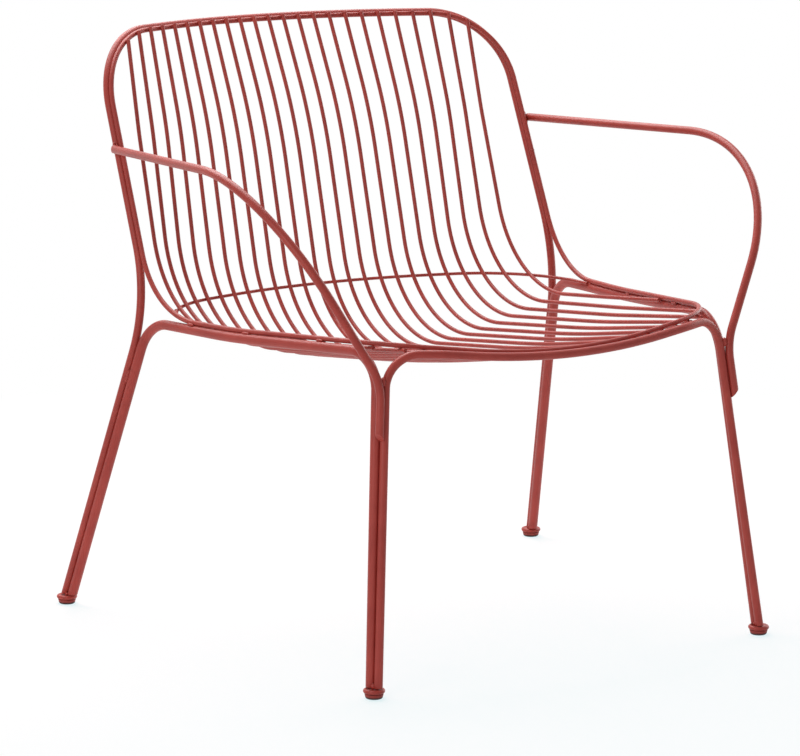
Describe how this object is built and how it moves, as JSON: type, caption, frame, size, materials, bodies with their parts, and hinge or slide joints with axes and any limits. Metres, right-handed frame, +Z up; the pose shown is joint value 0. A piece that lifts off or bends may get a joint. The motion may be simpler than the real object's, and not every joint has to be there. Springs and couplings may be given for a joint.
{
  "type": "garden armchair",
  "caption": "Low garden armchair welded from bent round steel bar, with a wire seat shell, a bowed back, open arms and legs of doubled bar on round feet",
  "frame": {"origin": "on the floor, in the middle of the chair's bounding box", "axes": "+Z is up, -Y is the way the sitter faces, +X is the sitter's left"},
  "size_m": [0.7318, 0.6918, 0.7095],
  "materials": {
    "painted_steel": "satin powder coat, brick red",
    "glide_plastic": "matt moulded plastic, dark red brown"
  },
  "bodies": {
    "root": {"back_hoop": "painted_steel", "seat_rim": "painted_steel", "left_side_hoop": "painted_steel", "right_side_hoop": "painted_steel", "front_hoop": "painted_steel", "left_arm": "painted_steel", "right_arm": "painted_steel", "cross_wire": "painted_steel", "seat_wire_01": "painted_steel", "seat_wire_02": "painted_steel", "seat_wire_03": "painted_steel", "seat_wire_04": "painted_steel", "seat_wire_05": "painted_steel", "seat_wire_06": "painted_steel", "seat_wire_07": "painted_steel", "seat_wire_08": "painted_steel", "seat_wire_09": "painted_steel", "seat_wire_10": "painted_steel", "seat_wire_11": "painted_steel", "seat_wire_12": "painted_steel", "seat_wire_13": "painted_steel", "seat_wire_14": "painted_steel", "seat_wire_15": "painted_steel", "seat_wire_16": "painted_steel", "seat_wire_17": "painted_steel", "seat_wire_18": "painted_steel", "seat_wire_19": "painted_steel", "seat_wire_20": "painted_steel", "seat_wire_21": "painted_steel", "seat_wire_22": "painted_steel", "seat_wire_23": "painted_steel", "seat_wire_24": "painted_steel", "front_left_collar": "painted_steel", "front_right_collar": "painted_steel", "rear_left_collar": "painted_steel", "rear_right_collar": "painted_steel", "front_left_glide": "glide_plastic", "front_right_glide": "glide_plastic", "rear_left_glide": "glide_plastic", "rear_right_glide": "glide_plastic"}
  },
  "joints": []
}
